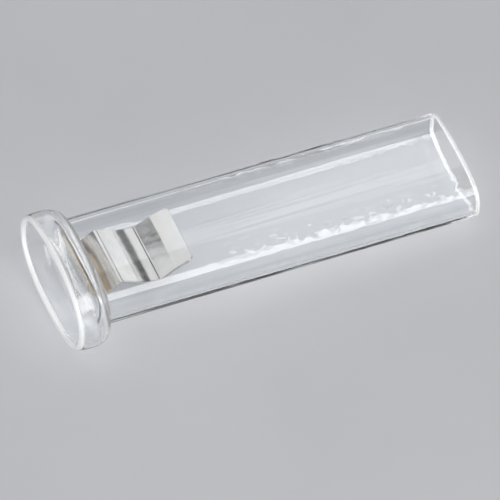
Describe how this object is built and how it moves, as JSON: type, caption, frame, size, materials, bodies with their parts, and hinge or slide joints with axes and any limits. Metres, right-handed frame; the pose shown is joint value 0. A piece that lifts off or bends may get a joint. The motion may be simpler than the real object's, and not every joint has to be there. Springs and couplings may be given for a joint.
{
  "type": "guitar slide",
  "caption": "Clear glass guitar slide: flattened open tube with a hollow flared collar and a bent leaf spring hooked inside the mouth.",
  "frame": {"origin": "centre of the whole slide, on the tube's axis", "axes": "+X runs along the tube from the collar to the plain end, +Y across the wide way of the section, +Z towards the wall that carries the spring"},
  "size_m": [0.076, 0.028, 0.0174],
  "materials": {
    "clear_glass": "clear and polished, with drawn ripples in the bore",
    "spring_steel": "satin stainless, fine grain along the strip"
  },
  "bodies": {
    "slide": {"glass_body": "clear_glass", "spring_hook": "spring_steel"},
    "front_arm": {"spring_front_arm": "spring_steel"},
    "rear_arm": {"spring_rear_arm": "spring_steel"}
  },
  "joints": [
    {"name": "front_arm_flex", "type": "hinge", "parent": "slide", "child": "front_arm", "pos_m": [-0.03015, 0, 0.00032], "axis": [0, -1, 0], "range_deg": [0, 15], "stiffness_Nm_per_rad": 0.005},
    {"name": "rear_arm_flex", "type": "hinge", "parent": "front_arm", "child": "rear_arm", "pos_m": [-0.0203, 0, -0.00028], "axis": [0, -1, 0], "range_deg": [-37, 0], "stiffness_Nm_per_rad": 0.001}
  ],
  "couplings": [
    {"joint": "rear_arm_flex", "follows": "front_arm_flex", "ratio": -2.45}
  ]
}
